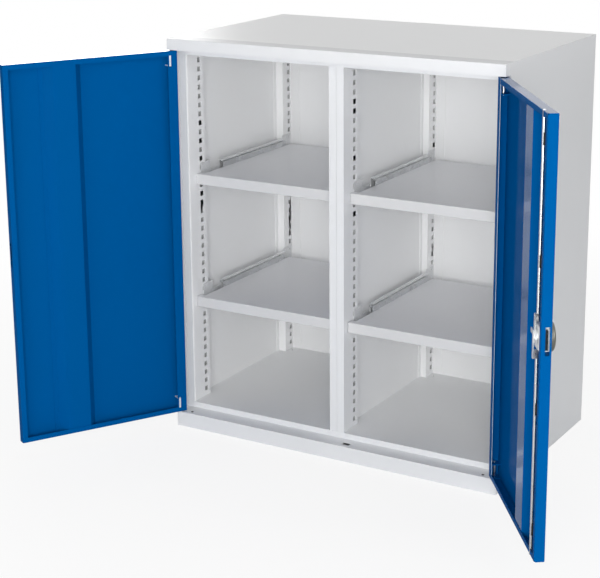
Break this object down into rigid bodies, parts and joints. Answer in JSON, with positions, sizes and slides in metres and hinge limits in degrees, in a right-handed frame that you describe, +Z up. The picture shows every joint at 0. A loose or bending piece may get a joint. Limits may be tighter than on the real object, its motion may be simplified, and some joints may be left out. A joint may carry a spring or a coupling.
{
  "type": "tool cabinet with doors",
  "caption": "Low sheet-metal cupboard with double hinged doors, a middle partition, slotted uprights, pull-out shelves on rails and a turn lock with rods and a bolt.",
  "frame": {"origin": "middle of the cabinet body's base, on the surface it stands on", "axes": "+Z up, the doors face -Y, +X to the right as seen from the front"},
  "size_m": [1.5035, 1.0074, 1.1],
  "materials": {
    "grey_paint": "semi-gloss powder coat, light grey",
    "blue_paint": "semi-gloss powder coat, deep blue",
    "zinc": "zinc plated",
    "bright_steel": "bright drawn steel",
    "black_plastic": "matte",
    "knob_plastic": "satin moulded"
  },
  "bodies": {
    "cabinet": {"top_panel": "grey_paint", "left_side_panel": "grey_paint", "right_side_panel": "grey_paint", "back_panel": "grey_paint", "floor_panel": "grey_paint", "plinth": "grey_paint", "rear_base_rail": "grey_paint", "centre_base_rail": "grey_paint", "partition_left_half": "grey_paint", "partition_right_half": "grey_paint", "left_front_upright": "grey_paint", "left_rear_upright": "grey_paint", "right_front_upright": "grey_paint", "right_rear_upright": "grey_paint", "partition_left_front_upright": "grey_paint", "partition_left_rear_upright": "grey_paint", "partition_right_front_upright": "grey_paint", "partition_right_rear_upright": "grey_paint", "upper_left_outer_rails": "zinc", "upper_left_brackets": "zinc", "lower_left_outer_rails": "zinc", "lower_left_brackets": "zinc", "upper_right_outer_rails": "zinc", "upper_right_brackets": "zinc", "lower_right_outer_rails": "zinc", "lower_right_brackets": "zinc", "hinge_bushes": "black_plastic"},
    "left_door": {"left_door_panel": "blue_paint", "left_door_stiffener": "blue_paint", "left_hinge_brackets": "zinc", "left_hinge_pins": "bright_steel"},
    "right_door": {"right_door_panel": "blue_paint", "right_door_stiffener": "blue_paint", "right_hinge_brackets": "zinc", "right_hinge_pins": "bright_steel", "lock_case": "zinc", "rod_guides": "black_plastic", "escutcheon": "knob_plastic"},
    "lock_handle": {"turn_knob": "knob_plastic", "lock_cam": "bright_steel", "key_cylinder": "bright_steel"},
    "upper_rod": {"upper_rod": "bright_steel"},
    "lower_rod": {"lower_rod": "bright_steel"},
    "centre_bolt": {"centre_bolt": "bright_steel"},
    "upper_left_shelf": {"upper_left_shelf": "grey_paint", "upper_left_inner_rails": "bright_steel"},
    "lower_left_shelf": {"lower_left_shelf": "grey_paint", "lower_left_inner_rails": "bright_steel"},
    "upper_right_shelf": {"upper_right_shelf": "grey_paint", "upper_right_inner_rails": "bright_steel"},
    "lower_right_shelf": {"lower_right_shelf": "grey_paint", "lower_right_inner_rails": "bright_steel"}
  },
  "joints": [
    {"name": "left_door_hinge", "type": "hinge", "parent": "cabinet", "child": "left_door", "pos_m": [-0.48, -0.2875, 0.55], "axis": [0, 0, -1], "range_deg": [-120, 60]},
    {"name": "right_door_hinge", "type": "hinge", "parent": "cabinet", "child": "right_door", "pos_m": [0.48, -0.2875, 0.55], "axis": [0, 0, 1], "range_deg": [-126, 54]},
    {"name": "handle_turn", "type": "hinge", "parent": "right_door", "child": "lock_handle", "pos_m": [0.7455, -0.63167, 0.566], "axis": [-0.809, -0.5878, 0], "range_deg": [0, 90]},
    {"name": "upper_rod_slide", "type": "slide", "parent": "right_door", "child": "upper_rod", "axis": [0, 0, 1], "range_m": [0, 0.018]},
    {"name": "lower_rod_slide", "type": "slide", "parent": "right_door", "child": "lower_rod", "axis": [0, 0, -1], "range_m": [0, 0.018]},
    {"name": "centre_bolt_slide", "type": "slide", "parent": "right_door", "child": "centre_bolt", "axis": [0.5878, -0.809, 0], "range_m": [0, 0.016]},
    {"name": "upper_left_shelf_slide", "type": "slide", "parent": "cabinet", "child": "upper_left_shelf", "axis": [0, -1, 0], "range_m": [0, 0.28]},
    {"name": "lower_left_shelf_slide", "type": "slide", "parent": "cabinet", "child": "lower_left_shelf", "axis": [0, -1, 0], "range_m": [-0.014, 0.266]},
    {"name": "upper_right_shelf_slide", "type": "slide", "parent": "cabinet", "child": "upper_right_shelf", "axis": [0, -1, 0], "range_m": [0, 0.28]},
    {"name": "lower_right_shelf_slide", "type": "slide", "parent": "cabinet", "child": "lower_right_shelf", "axis": [0, -1, 0], "range_m": [-0.014, 0.266]}
  ],
  "couplings": [
    {"joint": "handle_turn", "follows": "upper_rod_slide", "rad_per_m": 87.266},
    {"joint": "lower_rod_slide", "follows": "upper_rod_slide", "ratio": 1},
    {"joint": "centre_bolt_slide", "follows": "upper_rod_slide", "ratio": 0.88889}
  ]
}
